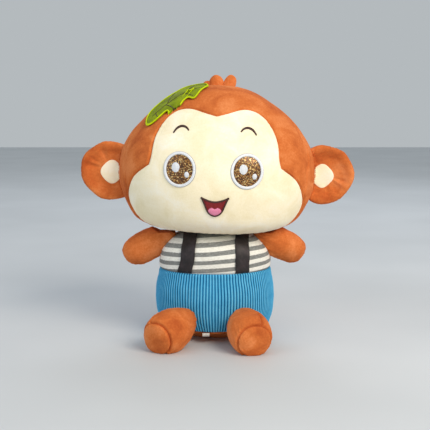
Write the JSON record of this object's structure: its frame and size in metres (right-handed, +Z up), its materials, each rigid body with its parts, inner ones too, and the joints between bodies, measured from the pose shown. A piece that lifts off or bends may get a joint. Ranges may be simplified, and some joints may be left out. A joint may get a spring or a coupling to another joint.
{
  "type": "stuffed toy monkey",
  "caption": "Sitting plush monkey with a big head, pale face, striped shirt, corduroy trousers, straps and a felt leaf; soft head, ears, arms, feet and tail flex",
  "frame": {"origin": "centre of the flat seat, on the surface that the toy sits on", "axes": "+Z up, the face looks along -Y, +X towards the viewer's right"},
  "size_m": [0.311, 0.2116, 0.2984],
  "materials": {
    "brown_velour": "short velour pile",
    "cream_velour": "short velour pile",
    "striped_jersey": "knitted stripes",
    "blue_corduroy": "8-wale corduroy",
    "strap_twill": "dark twill tape",
    "leaf_felt": "felt, raw edge",
    "label_satin": "satin tape, blank",
    "white_thread": "satin stitch",
    "glint_thread": "satin stitch",
    "dark_thread": "satin stitch",
    "red_thread": "satin stitch",
    "pink_thread": "satin stitch",
    "glitter_iris": "glitter cloth",
    "fibre_filling": "loose polyester fibre"
  },
  "bodies": {
    "torso": {"torso_filling": "fibre_filling", "base_panel": "brown_velour", "trousers_front": "blue_corduroy", "trousers_back": "blue_corduroy", "shirt_front": "striped_jersey", "shirt_back": "striped_jersey", "strap_left_front": "strap_twill", "strap_left_back": "strap_twill", "strap_right_front": "strap_twill", "strap_right_back": "strap_twill", "care_label": "label_satin"},
    "neck": {"neck_sleeve": "striped_jersey", "neck_filling": "fibre_filling"},
    "head": {"hood_front": "brown_velour", "hood_back_left": "brown_velour", "hood_back_right": "brown_velour", "face_panel": "cream_velour", "head_filling": "fibre_filling", "mouth_rim": "dark_thread", "mouth_lining": "red_thread", "tongue": "pink_thread", "leaf": "leaf_felt", "tuft_left": "brown_velour", "tuft_middle": "brown_velour", "tuft_right": "brown_velour", "eye_ring_left": "white_thread", "iris_left": "glitter_iris", "eye_glints_left": "glint_thread", "brow_left": "dark_thread", "eye_ring_right": "white_thread", "iris_right": "glitter_iris", "eye_glints_right": "glint_thread", "brow_right": "dark_thread"},
    "tail": {"tail_cover": "brown_velour", "tail_filling": "fibre_filling"},
    "ear_left": {"ear_front_left": "brown_velour", "ear_back_left": "brown_velour", "ear_inner_left": "cream_velour", "ear_filling_left": "fibre_filling"},
    "arm_left": {"arm_front_left": "brown_velour", "arm_back_left": "brown_velour", "arm_filling_left": "fibre_filling"},
    "foot_left": {"foot_inner_left": "brown_velour", "foot_outer_left": "brown_velour", "foot_sole_left": "brown_velour", "foot_filling_left": "fibre_filling"},
    "ear_right": {"ear_front_right": "brown_velour", "ear_back_right": "brown_velour", "ear_inner_right": "cream_velour", "ear_filling_right": "fibre_filling"},
    "arm_right": {"arm_front_right": "brown_velour", "arm_back_right": "brown_velour", "arm_filling_right": "fibre_filling"},
    "foot_right": {"foot_inner_right": "brown_velour", "foot_outer_right": "brown_velour", "foot_sole_right": "brown_velour", "foot_filling_right": "fibre_filling"}
  },
  "joints": [
    {"name": "head_turn", "type": "hinge", "parent": "torso", "child": "neck", "pos_m": [0, 0, 0.118], "axis": [0, 0, 1], "range_deg": [-18, 18], "stiffness_Nm_per_rad": 0.5},
    {"name": "head_nod", "type": "hinge", "parent": "neck", "child": "head", "pos_m": [0, 0, 0.118], "axis": [1, 0, 0], "range_deg": [-5, 5], "stiffness_Nm_per_rad": 1.2},
    {"name": "tail_wag", "type": "hinge", "parent": "torso", "child": "tail", "pos_m": [0, 0.0585, 0.032], "axis": [0, 0, 1], "range_deg": [-25, 25], "stiffness_Nm_per_rad": 0.02},
    {"name": "ear_fold_left", "type": "hinge", "parent": "head", "child": "ear_left", "pos_m": [-0.11035, 0.00385, 0.18981], "axis": [0.0296, -0.001, 0.9996], "range_deg": [-30, 30], "stiffness_Nm_per_rad": 0.03},
    {"name": "arm_swing_left", "type": "hinge", "parent": "torso", "child": "arm_left", "pos_m": [-0.057, -0.004, 0.105], "axis": [0, 1, 0], "range_deg": [-8, 28], "stiffness_Nm_per_rad": 0.06},
    {"name": "foot_lift_left", "type": "hinge", "parent": "torso", "child": "foot_left", "pos_m": [-0.029, -0.05, 0.0245], "axis": [-0.8829, 0.4695, 0], "range_deg": [0, 22], "stiffness_Nm_per_rad": 0.15},
    {"name": "ear_fold_right", "type": "hinge", "parent": "head", "child": "ear_right", "pos_m": [0.1145, -0.004, 0.18613], "axis": [0.0296, -0.001, 0.9996], "range_deg": [-30, 30], "stiffness_Nm_per_rad": 0.03},
    {"name": "arm_swing_right", "type": "hinge", "parent": "torso", "child": "arm_right", "pos_m": [0.057, -0.004, 0.105], "axis": [0, -1, 0], "range_deg": [-8, 28], "stiffness_Nm_per_rad": 0.06},
    {"name": "foot_lift_right", "type": "hinge", "parent": "torso", "child": "foot_right", "pos_m": [0.029, -0.05, 0.0245], "axis": [-0.9816, -0.1908, 0], "range_deg": [0, 22], "stiffness_Nm_per_rad": 0.15}
  ]
}
